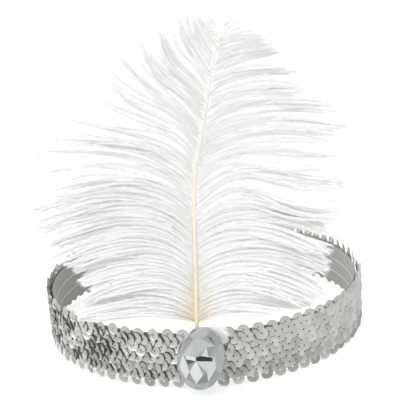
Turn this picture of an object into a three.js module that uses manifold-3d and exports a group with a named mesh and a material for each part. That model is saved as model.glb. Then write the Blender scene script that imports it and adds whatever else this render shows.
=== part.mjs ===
// Flapper headband: a stretch loop covered in zigzag rows of sequins, with an oval stone and an
// ostrich plume standing up behind it. Millimetres, +Z up, the stone faces -Y, and the loop
// stands on its lower edge at z = 0.
import * as THREE from "three";
import { mergeVertices } from "three/addons/utils/BufferGeometryUtils.js";
import Module from "manifold-3d";

const wasm = await Module();
wasm.setup();

const seatGap = 0.3; // between pieces that touch
const mergeDistance = 1e-4; // between corners that are one point

// Elastic loop
const elasticRadius = 82.5; // to its outside
const elasticWall = 1.2;
const elasticHeight = 24;
const elasticFacets = 64;

// Sequin rows
const sequinDiameter = 6;
const rowCount = 3;
const rowPitch = 9.5;
const rowSwing = 2.5; // how far a row zigzags up and down
const zigzagCount = 80; // round the loop
const scallopDepth = 2.6; // between two sequins, at the upper and lower edge
const coverWall = 1.7; // thinnest, between two rows
const rowRelief = 1; // how far a row stands out of that
const shingleLift = 1.2; // how far a sequin's free edge stands out

// Oval stone
const stoneWidth = 21.5;
const stoneLength = 29;
const stoneThickness = 7.4;
const stoneSide = -2.4; // from the loop's middle
const stoneFoot = 3.8; // lower end above the surface
const stoneLean = 10; // degrees, clockwise from the front
const stoneYaw = 12; // degrees, face turned to the left
const stoneTilt = 8; // degrees, face turned up
const tableRise = 6.2; // table's middle above the stone's middle
const stoneSteps = 32; // round the outline

// Quill
const quillLength = 160;
const quillHidden = 27; // length behind the stone
const quillFoot = 6; // lower end above the surface
const quillSide = -5.2; // foot from the loop's middle
const quillSway = 23; // foot to tip, sideways
const quillSetback = 10; // how far it stands back of the stone
const quillWidth = 2.2;
const quillDepth = 1.3;
const quillTipShare = 0.25; // tip's width as a share of the foot's
const quillSteps = 24;
const quillSides = 8;

// Barbs
const plumeReach = 68; // widest, from the quill
const lockCount = 17; // on each side
const lockWidth = 9;
const lockThickness = 1.3;
const lockTipShare = 0.16;
const lockTaperFrom = 0.35; // share of its length from which a lock narrows
const lockSteps = 5;
const lockSides = 4;
const lockCurl = 5; // tips bend forward and back
const stripWidth = 1.1; // backing along the quill
const controlShare = 0.42; // where along a lock its bend lies
const curlStep = 2.4; // turn of the curl from one lock to the next, in radians
const slimFrom = 0.85; // share of the quill from which the locks get slimmer
const slimShare = 0.35;
const slotDepth = 4 * lockThickness; // of the gap kept free for the quill

const coverHeight = (rowCount - 1) * rowPitch + sequinDiameter + 2 * rowSwing;
const coverInside = elasticRadius + seatGap;
const crestRadius = coverInside + coverWall + rowRelief + shingleLift;
const quillFace = crestRadius + seatGap + quillDepth / 2; // quill's middle, from the loop's axis
const bareFrom = quillHidden / quillLength; // share of the quill where the barbs start

// The quill's line: shares of its length upwards, of its sway sideways and of its setback.
const quillLine = [
  { up: 0, side: 0, back: 0 },
  { up: 0.17, side: 0.065, back: 0 },
  { up: 0.315, side: 0.104, back: 0.26 },
  { up: 0.526, side: 0.174, back: 0.62 },
  { up: 0.622, side: 0.252, back: 0.76 },
  { up: 0.716, side: 0.417, back: 0.88 },
  { up: 0.881, side: 0.67, back: 0.98 },
  { up: 0.939, side: 0.787, back: 0.98 },
  { up: 1, side: 1, back: 0.92 },
];

// Barbs of each side, from the stone to the plume's tip. root is a share of the bare quill, reach
// and rise place a barb's tip from its root as shares of the plume's reach, and bow is how far it
// arches above its straight line, as a share of that line.
const leftBarbs = [
  { root: 0, reach: 0.74, rise: 0.07, bow: 0.17 },
  { root: 0.08, reach: 0.68, rise: 0.06, bow: 0.2 },
  { root: 0.15, reach: 0.78, rise: 0.1, bow: 0.22 },
  { root: 0.22, reach: 0.95, rise: 0.11, bow: 0.22 },
  { root: 0.3, reach: 0.96, rise: 0.16, bow: 0.21 },
  { root: 0.37, reach: 0.93, rise: 0.19, bow: 0.2 },
  { root: 0.43, reach: 0.89, rise: 0.28, bow: 0.17 },
  { root: 0.5, reach: 0.8, rise: 0.33, bow: 0.14 },
  { root: 0.56, reach: 0.62, rise: 0.42, bow: 0.08 },
  { root: 0.62, reach: 0.46, rise: 0.54, bow: 0.05 },
  { root: 0.7, reach: 0.33, rise: 0.45, bow: 0.03 },
  { root: 0.77, reach: 0.21, rise: 0.36, bow: 0.03 },
  { root: 0.85, reach: 0.1, rise: 0.28, bow: 0.02 },
  { root: 1, reach: 0.03, rise: 0.06, bow: 0 },
];
const rightBarbs = [
  { root: 0, reach: 0.62, rise: 0.02, bow: 0.18 },
  { root: 0.06, reach: 0.72, rise: -0.03, bow: 0.2 },
  { root: 0.12, reach: 0.82, rise: -0.06, bow: 0.2 },
  { root: 0.2, reach: 0.87, rise: -0.05, bow: 0.2 },
  { root: 0.28, reach: 0.88, rise: -0.05, bow: 0.19 },
  { root: 0.36, reach: 0.94, rise: -0.02, bow: 0.18 },
  { root: 0.43, reach: 0.95, rise: 0.04, bow: 0.17 },
  { root: 0.5, reach: 0.88, rise: 0.08, bow: 0.15 },
  { root: 0.58, reach: 0.86, rise: 0.09, bow: 0.14 },
  { root: 0.66, reach: 0.75, rise: 0.09, bow: 0.12 },
  { root: 0.73, reach: 0.6, rise: 0.08, bow: 0.11 },
  { root: 0.8, reach: 0.48, rise: 0.08, bow: 0.09 },
  { root: 0.87, reach: 0.34, rise: 0.06, bow: 0.07 },
  { root: 1, reach: 0.03, rise: 0.06, bow: 0.03 },
];

// Cuts in the stone's right half, mirrored to the left. azimuth is in degrees from the stone's
// right side, slope is down from the table, and reach is where the cut meets the table, as a
// share of half the stone's width, from the table's middle.
const stoneCuts = [
  { azimuth: 270, slope: 17, reach: 0.38 },
  { azimuth: 312, slope: 27, reach: 0.62 },
  { azimuth: 352, slope: 50, reach: 0.7 },
  { azimuth: 40, slope: 55, reach: 0.7 },
  { azimuth: 90, slope: 52, reach: 0.5 },
  { azimuth: 286, slope: 10, reach: 0.35 },
  { azimuth: 335, slope: 26, reach: 0.63 },
  { azimuth: 10, slope: 32, reach: 0.68 },
  { azimuth: 70, slope: 36, reach: 0.48 },
  { azimuth: 291, slope: 25, reach: 0.7 },
  { azimuth: 333, slope: 46, reach: 0.78 },
  { azimuth: 16, slope: 60, reach: 0.78 },
  { azimuth: 66, slope: 64, reach: 0.6 },
];

const materials = {
  elastic: new THREE.MeshStandardMaterial({ color: 0xa6a6a4, roughness: 0.9 }),
  sequins: new THREE.MeshStandardMaterial({ color: 0xc8c8c3, roughness: 0.25, metalness: 0.9 }),
  stone: new THREE.MeshStandardMaterial({ color: 0xd8dad8, roughness: 0.06, metalness: 0.9 }),
  quill: new THREE.MeshStandardMaterial({ color: 0xf0dcaa, roughness: 0.5 }),
  barbs: new THREE.MeshStandardMaterial({ color: 0xf8f6f2, roughness: 0.9 }),
};

// Solid from a closed geometry, for cutting and joining
function toSolid(geometry) {
  const bare = geometry.clone();
  bare.deleteAttribute("normal");
  bare.deleteAttribute("uv");
  const merged = mergeVertices(bare, mergeDistance);
  return new wasm.Manifold(
    new wasm.Mesh({
      numProp: 3,
      vertProperties: new Float32Array(merged.getAttribute("position").array),
      triVerts: new Uint32Array(merged.getIndex().array),
    }),
  );
}

function toGeometry(solid) {
  const mesh = solid.getMesh();
  const geometry = new THREE.BufferGeometry();
  geometry.setAttribute("position", new THREE.BufferAttribute(mesh.vertProperties, 3));
  geometry.setIndex(new THREE.BufferAttribute(mesh.triVerts, 1));
  geometry.computeVertexNormals();
  return geometry;
}

function namedMesh(name, geometry, material) {
  const mesh = new THREE.Mesh(geometry, material);
  mesh.name = name;
  return mesh;
}

// Value of a table's column between its rows
function between(rows, key, column, at) {
  const next = rows.findIndex((row) => row[key] >= at);
  if (next <= 0) {
    return rows[next === 0 ? 0 : rows.length - 1][column];
  }
  const low = rows[next - 1];
  const high = rows[next];
  return THREE.MathUtils.mapLinear(at, low[key], high[key], low[column], high[column]);
}

// Bends a solid of unit size, with its length on Y, along a path: place(share) gives its middle,
// side and out directions and half sizes, from share 0 at its foot to 1 at its tip.
function bend(unit, place) {
  const points = unit.getAttribute("position");
  for (let i = 0; i < points.count; i += 1) {
    const { middle, side, out, halfWidth, halfDepth } = place(points.getY(i) + 0.5);
    const point = middle
      .clone()
      .addScaledVector(side, halfWidth * points.getX(i))
      .addScaledVector(out, halfDepth * points.getZ(i));
    points.setXYZ(i, point.x, point.y, point.z);
  }
  return unit;
}

function elasticGeometry() {
  const low = (coverHeight - elasticHeight) / 2;
  const inside = elasticRadius - elasticWall;
  const profile = [
    new THREE.Vector2(inside, low),
    new THREE.Vector2(elasticRadius, low),
    new THREE.Vector2(elasticRadius, low + elasticHeight),
    new THREE.Vector2(inside, low + elasticHeight),
    new THREE.Vector2(inside, low),
  ];
  const halfFacet = Math.PI / elasticFacets; // puts a flat at the front
  return new THREE.LatheGeometry(profile, elasticFacets, halfFacet).rotateX(Math.PI / 2);
}

// Section of the sequin cover, from its lower inside edge out, up and back in. low and high are
// a point's heights where the rows swing down and up, and lift is its share of the sequins' lift.
function coverSection() {
  const valley = coverInside + coverWall;
  const lowEdge = { low: 0, high: scallopDepth };
  const highEdge = { low: coverHeight - scallopDepth, high: coverHeight };
  const swung = (height) => ({ low: height - rowSwing, high: height + rowSwing });
  const points = [
    { radius: coverInside, lift: 0, ...lowEdge },
    { radius: valley, lift: 1, ...lowEdge },
  ];
  for (let row = 0; row < rowCount; row += 1) {
    const middle = rowSwing + sequinDiameter / 2 + row * rowPitch;
    points.push({ radius: valley + rowRelief, lift: 1, ...swung(middle) });
    if (row < rowCount - 1) {
      points.push({ radius: valley, lift: 0, ...swung(middle + rowPitch / 2) });
    }
  }
  points.push({ radius: valley, lift: 1, ...highEdge }, { radius: coverInside, lift: 0, ...highEdge });
  return points;
}

// Rows of overlapping sequins as one cover with scalloped edges. Each sequin's left edge, seen
// from outside, lies under its neighbour, and its right edge stands out.
function coverGeometry() {
  const zigzag = [
    { height: "low", lift: 0 },
    { height: "low", lift: 1 },
    { height: "high", lift: 0 },
    { height: "high", lift: 1 },
  ];
  const section = coverSection();
  const steps = zigzagCount * zigzag.length;
  const cover = new THREE.TorusGeometry(crestRadius, coverWall, section.length, steps);
  const points = cover.getAttribute("position");
  for (let i = 0; i < points.count; i += 1) {
    const step = (i % (steps + 1)) % steps;
    const row = section[Math.floor(i / (steps + 1)) % section.length];
    const beat = zigzag[step % zigzag.length];
    const reach = row.radius + shingleLift * row.lift * beat.lift;
    const angle = (2 * Math.PI * step) / steps;
    points.setXYZ(i, reach * Math.cos(angle), reach * Math.sin(angle), row[beat.height]);
  }
  return cover;
}

// Oval stone with a flat back at z = 0 and its table up, cut as a stonecutter would
function stoneGeometry() {
  const outline = new THREE.CylinderGeometry(1, 1, stoneThickness, stoneSteps)
    .rotateX(Math.PI / 2)
    .scale(stoneWidth / 2, stoneLength / 2, 1)
    .translate(0, 0, stoneThickness / 2);
  const block = 3 * stoneLength;
  let stone = toSolid(outline);
  for (const { azimuth, slope, reach } of stoneCuts) {
    for (const mirror of azimuth % 180 === 90 ? [1] : [1, -1]) {
      const turn = THREE.MathUtils.degToRad(azimuth);
      const cut = new THREE.BoxGeometry(block, block, block)
        .translate(0, 0, block / 2)
        .rotateY(THREE.MathUtils.degToRad(slope))
        .translate((reach * stoneWidth) / 2, 0, stoneThickness)
        .rotateZ(mirror > 0 ? turn : Math.PI - turn)
        .translate(0, tableRise, 0);
      stone = stone.subtract(toSolid(cut));
    }
  }
  return toGeometry(stone);
}

// Stone laid against the quill, on the front of the loop
function stoneMesh() {
  const lean = THREE.MathUtils.degToRad(stoneLean);
  const mesh = namedMesh("stone", stoneGeometry().rotateZ(-lean), materials.stone);
  const tilt = THREE.MathUtils.degToRad(stoneTilt);
  const yaw = THREE.MathUtils.degToRad(stoneYaw);
  const seat = quillFace + quillDepth / 2 + seatGap;
  const rock = (stoneLength / 2) * Math.sin(tilt) + Math.abs(quillSide - stoneSide) * Math.sin(yaw);
  mesh.rotation.set(Math.PI / 2 - tilt, 0, -yaw, "ZXY");
  mesh.position.set(stoneSide, -(seat + rock), stoneFoot + stoneLength / 2);
  return mesh;
}

const quillCurve = new THREE.CatmullRomCurve3(
  quillLine.map(
    ({ up, side, back }) =>
      new THREE.Vector3(
        quillSide + side * quillSway,
        -quillFace + back * quillSetback,
        quillFoot + up * quillLength,
      ),
  ),
);

function quillHalfWidth(share) {
  return (quillWidth / 2) * THREE.MathUtils.lerp(1, quillTipShare, share);
}

// Directions across and out of the plume at a point of the quill
function quillFrame(share) {
  const tangent = quillCurve.getTangentAt(share);
  const out = new THREE.Vector3(1, 0, 0).cross(tangent).normalize();
  return { side: tangent.clone().cross(out), out };
}

function quillGeometry() {
  return bend(new THREE.CylinderGeometry(1, 1, 1, quillSides, quillSteps), (share) => ({
    ...quillFrame(share),
    middle: quillCurve.getPointAt(share),
    halfWidth: quillHalfWidth(share),
    halfDepth: (quillDepth / 2) * THREE.MathUtils.lerp(1, quillTipShare, share),
  }));
}

// Ribbon beside the quill from one share of its length to its tip, between two distances from
// its edge
function besideQuill(hand, first, near, far, depth) {
  return bend(new THREE.BoxGeometry(2, 1, 2, 1, quillSteps, 1), (share) => {
    const along = THREE.MathUtils.lerp(first, 1, share);
    const { side, out } = quillFrame(along);
    const offset = quillHalfWidth(along) + (near + far) / 2;
    return {
      side,
      out,
      middle: quillCurve.getPointAt(along).addScaledVector(side, hand * offset),
      halfWidth: Math.abs(far - near) / 2,
      halfDepth: depth / 2,
    };
  });
}

// One lock of barbs, from the quill to its tip
function lockGeometry(hand, barbs, root) {
  const along = THREE.MathUtils.lerp(bareFrom, 1, root);
  const foot = quillCurve.getPointAt(along);
  foot.x += hand * (quillHalfWidth(along) + seatGap + stripWidth / 2);
  const reach = between(barbs, "root", "reach", root) * plumeReach;
  const rise = between(barbs, "root", "rise", root) * plumeReach;
  const tip = foot.clone().add(new THREE.Vector3(hand * reach, 0, rise));
  const arch = 2 * between(barbs, "root", "bow", root);
  const knee = foot.clone().lerp(tip, controlShare);
  knee.add(new THREE.Vector3(-hand * rise * arch, 0, reach * arch));
  const path = new THREE.QuadraticBezierCurve3(foot, knee, tip);
  const curl = lockCurl * Math.sin(root * lockCount * curlStep);
  const slimmer = THREE.MathUtils.mapLinear(Math.max(root, slimFrom), slimFrom, 1, 1, slimShare);
  return bend(new THREE.CylinderGeometry(1, 1, 1, lockSides, lockSteps), (share) => {
    const taper = THREE.MathUtils.lerp(1, lockTipShare, THREE.MathUtils.smoothstep(share, lockTaperFrom, 1));
    const tangent = path.getTangent(share);
    return {
      middle: path.getPoint(share).add(new THREE.Vector3(0, -curl * share * share, 0)),
      side: new THREE.Vector3(tangent.z, 0, -tangent.x).normalize(),
      out: new THREE.Vector3(0, -1, 0),
      halfWidth: (lockWidth / 2) * taper * slimmer,
      halfDepth: (lockThickness / 2) * taper,
    };
  });
}

// All the locks of one side, joined to a strip beside the quill and clear of the quill
function barbsGeometry(hand, barbs) {
  let joined = toSolid(besideQuill(hand, bareFrom, 0, seatGap + stripWidth, lockThickness));
  for (let lock = 0; lock < lockCount; lock += 1) {
    joined = joined.add(toSolid(lockGeometry(hand, barbs, (lock + 0.5) / lockCount)));
  }
  const quillSlot = besideQuill(hand, 0, seatGap, -lockWidth, slotDepth);
  return toGeometry(joined.subtract(toSolid(quillSlot)));
}

const headband = new THREE.Group();
headband.add(
  namedMesh("elastic_band", elasticGeometry(), materials.elastic),
  namedMesh("sequin_rows", coverGeometry(), materials.sequins),
  stoneMesh(),
  namedMesh("quill", quillGeometry(), materials.quill),
  namedMesh("barbs_left", barbsGeometry(-1, leftBarbs), materials.barbs),
  namedMesh("barbs_right", barbsGeometry(1, rightBarbs), materials.barbs),
);

// The origin is in the middle of the footprint, on the surface that the loop stands on.
const extent = new THREE.Box3().setFromObject(headband, true);
const middle = extent.getCenter(new THREE.Vector3());
headband.position.set(-middle.x, -middle.y, -extent.min.z);

export default headband;
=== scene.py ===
# Stretch headband of silver cup sequins, with an oval stone and an ostrich plume at the front.
# Sizes in the dictionaries are millimetres unless a note says otherwise; meshes are in metres.
import math
import bmesh
import bpy
import numpy as np
from mathutils import Matrix, Vector


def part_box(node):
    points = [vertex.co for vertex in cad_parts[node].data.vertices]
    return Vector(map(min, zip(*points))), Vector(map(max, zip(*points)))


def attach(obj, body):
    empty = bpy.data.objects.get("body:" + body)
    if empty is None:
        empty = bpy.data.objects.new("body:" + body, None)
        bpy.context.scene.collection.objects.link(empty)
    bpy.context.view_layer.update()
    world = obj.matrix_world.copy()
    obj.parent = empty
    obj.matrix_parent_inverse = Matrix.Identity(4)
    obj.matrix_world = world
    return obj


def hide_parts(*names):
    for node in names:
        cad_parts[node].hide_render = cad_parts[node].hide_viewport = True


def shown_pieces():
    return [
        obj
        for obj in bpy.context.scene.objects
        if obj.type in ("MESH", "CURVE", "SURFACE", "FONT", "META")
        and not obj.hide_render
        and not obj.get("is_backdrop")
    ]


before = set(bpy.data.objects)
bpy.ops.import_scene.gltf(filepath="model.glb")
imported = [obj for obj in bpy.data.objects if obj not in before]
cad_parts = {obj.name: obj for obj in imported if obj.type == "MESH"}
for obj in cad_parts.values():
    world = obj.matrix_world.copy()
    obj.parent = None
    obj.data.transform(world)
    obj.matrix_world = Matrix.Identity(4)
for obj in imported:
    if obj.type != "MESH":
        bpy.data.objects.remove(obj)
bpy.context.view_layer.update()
scene = bpy.context.scene
mm = 0.001

ringLow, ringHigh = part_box("elastic_band")
ring = np.array([(ringLow.x + ringHigh.x) / 2, (ringLow.y + ringHigh.y) / 2, 0])  # loop's middle


# Camera, fitted to the loop's outline in the photo; place is measured from the loop's middle
shot = {"place": (4.5, -445.1, 189.5), "down": 15.96, "roll": -3.42, "lens": 74.23, "sensor": 36}


def makeCamera():
    data = bpy.data.cameras.new("photoCamera")
    data.lens = shot["lens"]
    data.sensor_width = shot["sensor"]
    camera = bpy.data.objects.new("photoCamera", data)
    look = Matrix.Rotation(math.radians(90 - shot["down"]), 4, "X")
    roll = Matrix.Rotation(math.radians(shot["roll"]), 4, "Z")
    camera.matrix_world = Matrix.Translation(Vector(ring + np.array(shot["place"]) * mm)) @ look @ roll
    scene.collection.objects.link(camera)
    scene.camera = camera


makeCamera()
print("camera set")


# Small helpers for node trees and meshes

def put(tree, kind, inputs=None, **settings):  # adds a node, and links or sets its inputs
    node = tree.nodes.new(kind)
    for name, value in settings.items():
        setattr(node, name, value)
    for name, value in (inputs or {}).items():
        if isinstance(value, bpy.types.NodeSocket):
            tree.links.new(value, node.inputs[name])
        else:
            node.inputs[name].default_value = value
    return node


def calc(tree, operation, first, second=0.0):
    return put(tree, "ShaderNodeMath", {0: first, 1: second}, operation=operation).outputs[0]


def remap(tree, value, ends=(0, 1), newEnds=(0, 1)):
    return put(tree, "ShaderNodeMapRange", {
        "Value": value, "From Min": ends[0], "From Max": ends[1],
        "To Min": newEnds[0], "To Max": newEnds[1]}).outputs[0]


def times(tree, first, second):  # one colour multiplied by another
    return put(tree, "ShaderNodeMix", {"Factor": 1.0, 6: first, 7: second}, data_type="RGBA",
               blend_type="MULTIPLY").outputs[2]


def newTree(name, inputs):  # a geometry node tree with named inputs, and its input and output nodes
    tree = bpy.data.node_groups.new(name, "GeometryNodeTree")
    face = tree.interface
    face.new_socket("Geometry", in_out="INPUT", socket_type="NodeSocketGeometry")
    for label, kind in inputs.items():
        face.new_socket(label, in_out="INPUT", socket_type="NodeSocket" + kind)
    face.new_socket("Geometry", in_out="OUTPUT", socket_type="NodeSocketGeometry")
    return tree, put(tree, "NodeGroupInput").outputs


def endTree(tree, geometry, finish):  # every tree ends in realized instances with their material
    whole = put(tree, "GeometryNodeRealizeInstances", {"Geometry": geometry})
    dressed = put(tree, "GeometryNodeSetMaterial", {"Geometry": whole.outputs[0], "Material": finish})
    put(tree, "NodeGroupOutput", {"Geometry": dressed.outputs[0]})


def grow(name, base, tree, values):  # runs a tree on a base mesh and keeps the result as a plain mesh
    source = bpy.data.objects.new(name + "Base", base)
    scene.collection.objects.link(source)
    modifier = source.modifiers.new("grow", "NODES")
    modifier.node_group = tree
    sockets = {item.name: item.identifier for item in tree.interface.items_tree if item.in_out == "INPUT"}
    for label, value in values.items():
        modifier[sockets[label]] = value
    bpy.context.view_layer.update()
    grown = source.evaluated_get(bpy.context.evaluated_depsgraph_get())
    mesh = bpy.data.meshes.new_from_object(grown)
    bpy.data.objects.remove(source)
    return addPiece(name, mesh)


def addPiece(name, mesh):
    mesh.name = name
    piece = bpy.data.objects.new(name, mesh)
    scene.collection.objects.link(piece)
    return piece


def meshFrom(name, points, faces=(), edges=()):
    mesh = bpy.data.meshes.new(name)
    mesh.from_pydata([tuple(p) for p in points], list(edges), list(faces))
    mesh.update()
    return mesh


def faceOut(mesh):  # turns all faces outwards
    work = bmesh.new()
    work.from_mesh(mesh)
    bmesh.ops.recalc_face_normals(work, faces=work.faces)
    work.to_mesh(mesh)
    work.free()


def roundOut(mesh):  # turns all faces outwards and shades them as round
    faceOut(mesh)
    mesh.polygons.foreach_set("use_smooth", [True] * len(mesh.polygons))


def helperObject(name, mesh):  # a shape that a tree repeats; it isn't shown itself
    return bpy.data.objects.new(name, mesh)


def newMaterial(name):
    material = bpy.data.materials.new(name)
    material.use_nodes = True
    tree = material.node_tree
    return material, tree, tree.nodes["Principled BSDF"]


def roughen(tree, skin, height, strength, distance):  # bumps up to distance high, in metres
    bump = put(tree, "ShaderNodeBump", {"Height": height, "Strength": strength, "Distance": distance})
    tree.links.new(bump.outputs[0], skin.inputs["Normal"])


def ramp(tree, factor, stops):  # stops are (place, grey or colour)
    node = put(tree, "ShaderNodeValToRGB", {0: factor})
    elements = node.color_ramp.elements
    while len(elements) < len(stops):
        elements.new(0.5)
    for element, (place, colour) in zip(elements, stops):
        element.position = place
        element.color = (*colour, 1) if isinstance(colour, tuple) else (colour, colour, colour, 1)
    return node.outputs[0]


# Sequins: three zigzag rows of cups, each lying over its right-hand neighbour
sequins = {
    "radius": 2.88, "hole": 0.42, "floor": 2.0, "cupDepth": 0.22, "film": 0.08, "sides": 12,
    "ringRadius": 84.75, "rows": 3, "pitch": 8.7, "swing": 3.3, "zigzags": 76, "perZigzag": 4,
    "turn": 12.5, "turnSpread": 5.5, "nodSpread": 7.5, "heightSpread": 0.3, "seed": 8,
    "tautAt": -50, "slack": -0.2, "taut": 0.7, "looseness": 1.8,
}


def cupMesh():
    size = sequins
    profile = [
        (size["hole"], 0), (size["floor"], 0), (size["radius"], size["cupDepth"]),
        (size["radius"], size["cupDepth"] - size["film"]), (size["floor"], -size["film"]),
        (size["hole"], -size["film"]),
    ]
    sides, rings = size["sides"], len(profile)
    points = []
    for radius, height in profile:
        for side in range(sides):
            angle = 2 * math.pi * side / sides
            points.append((height * mm, radius * math.cos(angle) * mm, radius * math.sin(angle) * mm))
    faces = []
    for step in range(rings):
        for side in range(sides):
            near, far = step * sides, (step + 1) % rings * sides
            after = (side + 1) % sides
            faces.append((near + side, near + after, far + after, far + side))
    mesh = meshFrom("cup", points, faces)
    roundOut(mesh)
    crisp = {0, 2, 3, 5}  # the hole's and the rim's rings stay sharp, the dish between is rounded
    rows = [[end // sides for end in edge.vertices] for edge in mesh.edges]
    sharp = [first == second and first in crisp for first, second in rows]
    mesh.edges.foreach_set("use_edge_sharp", sharp)
    # marks the cups' backs, which the material darkens as painted shade
    under = [float(face.index // sides in (3, 4)) for face in mesh.polygons]
    mesh.attributes.new("under", "FLOAT", "FACE").data.foreach_set("value", under)
    return mesh


def sequinMaterial():
    material, tree, skin = newMaterial("silverFilm")
    tone = put(tree, "ShaderNodeAttribute", attribute_name="tone").outputs["Fac"]
    place = put(tree, "ShaderNodeTexCoord").outputs["Object"]
    scuff = put(tree, "ShaderNodeTexNoise", {"Vector": place, "Scale": 900.0, "Detail": 3.0}).outputs[0]
    colour = ramp(tree, tone, [(0, (0.57, 0.57, 0.555)), (1, (0.73, 0.73, 0.71))])
    under = put(tree, "ShaderNodeAttribute", attribute_name="under").outputs["Fac"]  # the cups' backs get painted shade, a darker colour standing for the shade under each cup
    parts = put(tree, "ShaderNodeSeparateXYZ", {0: place}).outputs
    side = calc(tree, "MULTIPLY", calc(tree, "ABSOLUTE", parts["X"]), 0.5)
    behind = calc(tree, "ADD", parts["Y"], side)  # the painted shade on the backs is paler round the loop's sides and behind
    paintedBackShade = ramp(tree, remap(tree, behind, (-0.01, 0.05)), [(0, 0.32), (1, 0.65)])
    colour = put(tree, "ShaderNodeMix", {"Factor": under, 6: colour, 7: paintedBackShade},
                 data_type="RGBA").outputs[2]
    tree.links.new(colour, skin.inputs["Base Color"])
    tree.links.new(ramp(tree, scuff, [(0.3, 0.17), (0.75, 0.27)]), skin.inputs["Roughness"])
    roughen(tree, skin, scuff, 0.12, 0.0001)
    tree.links.new(remap(tree, under, newEnds=(0.9, 0.45)), skin.inputs["Metallic"])
    return material


def sequinTree():
    tree, given = newTree("zigzagSequins", {
        "Cup": "Object", "Finish": "Material", "Ring Radius": "Float", "Rows": "Int", "Pitch": "Float",
        "Swing": "Float", "First Height": "Float", "Zigzags": "Int", "Per Zigzag": "Int", "Turn": "Float",
        "Turn Spread": "Float", "Nod Spread": "Float", "Height Spread": "Float", "Seed": "Int",
    })
    index = put(tree, "GeometryNodeInputIndex").outputs[0]
    perRow = calc(tree, "MULTIPLY", given["Zigzags"], given["Per Zigzag"])
    count = calc(tree, "MULTIPLY", perRow, given["Rows"])
    row = calc(tree, "FLOOR", calc(tree, "DIVIDE", calc(tree, "ADD", index, 0.5), perRow))
    step = calc(tree, "MODULO", index, perRow)
    angle = calc(tree, "MULTIPLY", calc(tree, "DIVIDE", step, perRow), 2 * math.pi)
    half = calc(tree, "DIVIDE", given["Per Zigzag"], 2.0)
    beat = calc(tree, "SUBTRACT", calc(tree, "DIVIDE", calc(tree, "PINGPONG", step, half), half), 0.5)
    wave = calc(tree, "MULTIPLY", calc(tree, "MULTIPLY", beat, 2.0), given["Swing"])

    def spread(amount, salt):
        node = put(tree, "FunctionNodeRandomValue", {2: -1.0, 3: 1.0}, data_type="FLOAT")
        tree.links.new(calc(tree, "ADD", given["Seed"], float(salt)), node.inputs["Seed"])
        return calc(tree, "MULTIPLY", node.outputs[1], amount)

    height = calc(tree, "ADD", calc(tree, "MULTIPLY", row, given["Pitch"]), given["First Height"])
    height = calc(tree, "ADD", calc(tree, "ADD", height, wave), spread(given["Height Spread"], 1))
    across = calc(tree, "MULTIPLY", calc(tree, "COSINE", angle), given["Ring Radius"])
    deep = calc(tree, "MULTIPLY", calc(tree, "SINE", angle), given["Ring Radius"])
    place = put(tree, "ShaderNodeCombineXYZ", {0: across, 1: deep, 2: height}).outputs[0]
    bearing = calc(tree, "COSINE", calc(tree, "SUBTRACT", angle, math.radians(sequins["tautAt"])))
    pull = remap(tree, bearing, (sequins["slack"], sequins["taut"]))  # flatter at the left and the back
    loose = remap(tree, pull, newEnds=(sequins["looseness"], 1))
    stray = calc(tree, "MULTIPLY", spread(given["Turn Spread"], 2), loose)
    turn = calc(tree, "ADD", calc(tree, "MULTIPLY", given["Turn"], pull), stray)
    facing = calc(tree, "SUBTRACT", angle, turn)
    nod = calc(tree, "MULTIPLY", spread(given["Nod Spread"], 3), loose)
    spin = spread(math.pi, 4)
    euler = put(tree, "ShaderNodeCombineXYZ", {0: spin, 1: nod, 2: facing}).outputs[0]
    points = put(tree, "GeometryNodePoints", {"Count": count, "Position": place})
    cup = put(tree, "GeometryNodeObjectInfo", {"Object": given["Cup"]}).outputs["Geometry"]
    cups = put(tree, "GeometryNodeInstanceOnPoints",
               {"Points": points.outputs[0], "Instance": cup, "Rotation": euler})
    tone = put(tree, "FunctionNodeRandomValue", {2: 0.0, 3: 1.0, "Seed": 5}, data_type="FLOAT")
    toned = put(tree, "GeometryNodeStoreNamedAttribute",
                {"Geometry": cups.outputs[0], "Name": "tone", "Value": tone.outputs[1]},
                domain="INSTANCE", data_type="FLOAT")
    endTree(tree, toned.outputs[0], given["Finish"])
    return tree


def makeSequins():
    size = sequins
    cup = helperObject("cupShape", cupMesh())
    piece = grow("sequinCups", meshFrom("seed", [(0, 0, 0)]), sequinTree(), {
        "Cup": cup, "Finish": sequinMaterial(), "Ring Radius": size["ringRadius"] * mm,
        "Rows": size["rows"], "Pitch": size["pitch"] * mm, "Swing": size["swing"] * mm,
        "First Height": (size["radius"] + size["swing"]) * mm, "Zigzags": size["zigzags"],
        "Per Zigzag": size["perZigzag"], "Turn": math.radians(size["turn"]),
        "Turn Spread": math.radians(size["turnSpread"]), "Nod Spread": math.radians(size["nodSpread"]),
        "Height Spread": size["heightSpread"] * mm, "Seed": size["seed"],
    })
    piece.data.transform(Matrix.Translation(Vector(ring)))
    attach(piece, "root")
    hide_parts("sequin_rows")


makeSequins()
print("sequins sewn on")


# Elastic: a knitted loop with lengthwise ribs, and two white seams on its inside
elastic = {
    "radius": 82.5, "wall": 1.2, "height": 22.4, "low": 3.8, "ribs": 15, "ribDepth": 0.14, "around": 192,
}
seams = {"heights": (0.33, 0.67), "stitch": 2.5, "gap": 0.45, "thick": 0.5, "proud": 0.25}


def elasticMaterial():
    material, tree, skin = newMaterial("greyKnit")
    spot = put(tree, "ShaderNodeUVMap", uv_map="along").outputs[0]
    knit = put(tree, "ShaderNodeTexWave",
               {"Vector": spot, "Scale": 260.0, "Distortion": 2.5, "Detail": 2.0},
               bands_direction="X").outputs["Fac"]
    fuzz = put(tree, "ShaderNodeTexNoise", {"Vector": spot, "Scale": 500.0, "Detail": 4.0}).outputs[0]
    both = calc(tree, "ADD", calc(tree, "MULTIPLY", knit, 0.6), calc(tree, "MULTIPLY", fuzz, 0.4))
    colour = ramp(tree, both, [(0.15, (0.22, 0.22, 0.215)), (0.8, (0.39, 0.39, 0.38))])
    tree.links.new(colour, skin.inputs["Base Color"])
    roughen(tree, skin, both, 0.5, 0.0002)
    skin.inputs["Roughness"].default_value = 0.85
    skin.inputs["Sheen Weight"].default_value = 0.25
    return material


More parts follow.
